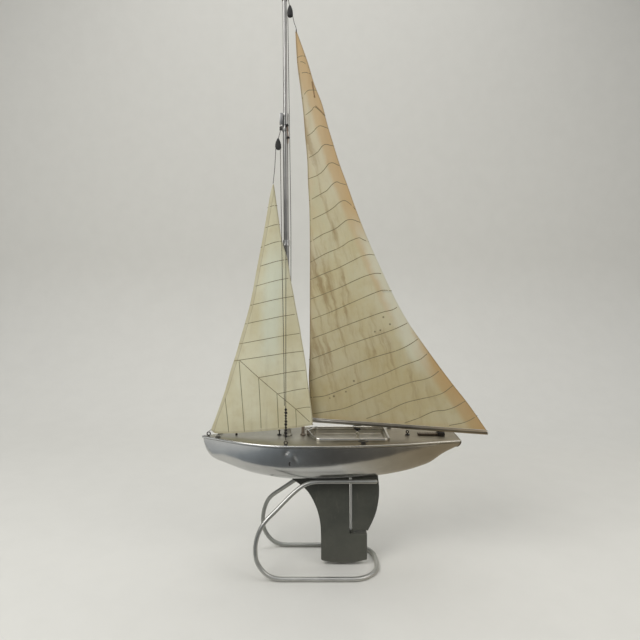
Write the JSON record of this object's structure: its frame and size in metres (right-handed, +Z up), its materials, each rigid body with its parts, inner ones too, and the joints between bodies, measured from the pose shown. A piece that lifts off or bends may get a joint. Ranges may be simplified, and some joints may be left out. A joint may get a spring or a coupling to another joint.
{
  "type": "sailing yacht model",
  "caption": "Free-sailing model yacht with a polished metal hull, ballast keel, rudder and two panelled cloth sails, on a bent-rod display stand.",
  "frame": {"origin": "on the surface the stand rests on, under the middle of the bounding box", "axes": "+Z up along the mast; -X towards the bow; +Y to starboard"},
  "size_m": [0.5406, 0.1342, 1.11],
  "materials": {
    "polished_aluminium": "polished, lightly scratched",
    "rod_aluminium": "satin drawn",
    "keel_paint": "matt dark grey",
    "sailcloth": "aged cream cotton",
    "dark_fitting": "blackened metal",
    "brass_dark": "tarnished",
    "steel": "plain",
    "rigging_line": "waxed line",
    "black_cord": "black braided cord"
  },
  "bodies": {
    "stand": {"stand_frame": "rod_aluminium"},
    "yacht": {"hull_shell": "polished_aluminium", "deck_plate": "polished_aluminium", "coaming": "polished_aluminium", "cockpit_tray": "polished_aluminium", "transom_plate": "polished_aluminium", "keel_fin": "keel_paint", "keel_bolt_fore": "steel", "keel_bolt_aft": "steel", "keel_nut_fore": "steel", "keel_nut_aft": "steel", "rudder_trunk": "steel", "rudder_heel_bush": "dark_fitting", "mast_step": "dark_fitting", "mast_lower": "rod_aluminium", "mast_upper": "rod_aluminium", "mast_sleeve": "rod_aluminium", "masthead_cap": "rod_aluminium", "shroud_collar": "brass_dark", "hound_bracket": "brass_dark", "gooseneck_post": "dark_fitting", "shroud_port": "rigging_line", "shroud_starboard": "rigging_line", "lanyard_port": "black_cord", "lanyard_starboard": "black_cord", "chainplate_eye_port": "dark_fitting", "chainplate_eye_starboard": "dark_fitting", "main_block_shell": "dark_fitting", "jib_block_shell": "dark_fitting", "main_halyard": "rigging_line", "jib_halyard": "rigging_line", "main_block_strop": "rigging_line", "jib_block_strop": "rigging_line", "mainsheet": "black_cord", "jib_sheet": "rigging_line", "bow_eye": "dark_fitting", "jib_tack_lashing": "rigging_line", "bow_fairlead_port": "dark_fitting", "bow_fairlead_starboard": "dark_fitting", "deck_knob": "dark_fitting", "pin_fitting": "dark_fitting", "horn_cleat_port": "dark_fitting", "horn_cleat_starboard": "dark_fitting", "sheet_post": "rod_aluminium", "aft_eye": "dark_fitting", "sheet_rack": "dark_fitting", "deck_eye_starboard": "dark_fitting"},
    "boom_rig": {"gooseneck_swivel": "dark_fitting", "boom_tube": "rod_aluminium", "boom_end_plug": "rod_aluminium", "boom_sheet_eye": "dark_fitting", "mainsail": "sailcloth"},
    "jib_sail": {"jib": "sailcloth"},
    "rudder": {"rudder_stock": "rod_aluminium", "rudder_blade": "keel_paint", "rudder_collar": "brass_dark"},
    "slider": {"sheet_slider": "dark_fitting"},
    "main_sheave": {"main_block_sheave": "brass_dark"},
    "jib_sheave": {"jib_block_sheave": "brass_dark"}
  },
  "joints": [
    {"name": "lift_off", "type": "slide", "parent": "stand", "child": "yacht", "axis": [0, 0, 1], "range_m": [0, 0.2]},
    {"name": "boom_swing", "type": "hinge", "parent": "yacht", "child": "boom_rig", "pos_m": [-0.07383, 0, 0.279], "axis": [-0.0179, 0, 0.9998], "range_deg": [-30, 42]},
    {"name": "jib_swing", "type": "hinge", "parent": "yacht", "child": "jib_sail", "pos_m": [-0.25293, 0, 0.2586], "axis": [0.244, 0, 0.9698], "range_deg": [-3, 1.5]},
    {"name": "rudder_turn", "type": "hinge", "parent": "yacht", "child": "rudder", "pos_m": [0.01917, 0, 0.06], "axis": [0, 0, 1], "range_deg": [-18, 18]},
    {"name": "sheet_slide", "type": "slide", "parent": "yacht", "child": "slider", "axis": [-1, 0, 0], "range_m": [0, 0.034]},
    {"name": "main_sheave_spin", "type": "hinge", "parent": "yacht", "child": "main_sheave", "pos_m": [-0.09923, 0, 1.0683], "axis": [0, 1, 0], "continuous": true},
    {"name": "jib_sheave_spin", "type": "hinge", "parent": "yacht", "child": "jib_sheave", "pos_m": [-0.12213, 0, 0.81], "axis": [0, 1, 0], "continuous": true}
  ]
}
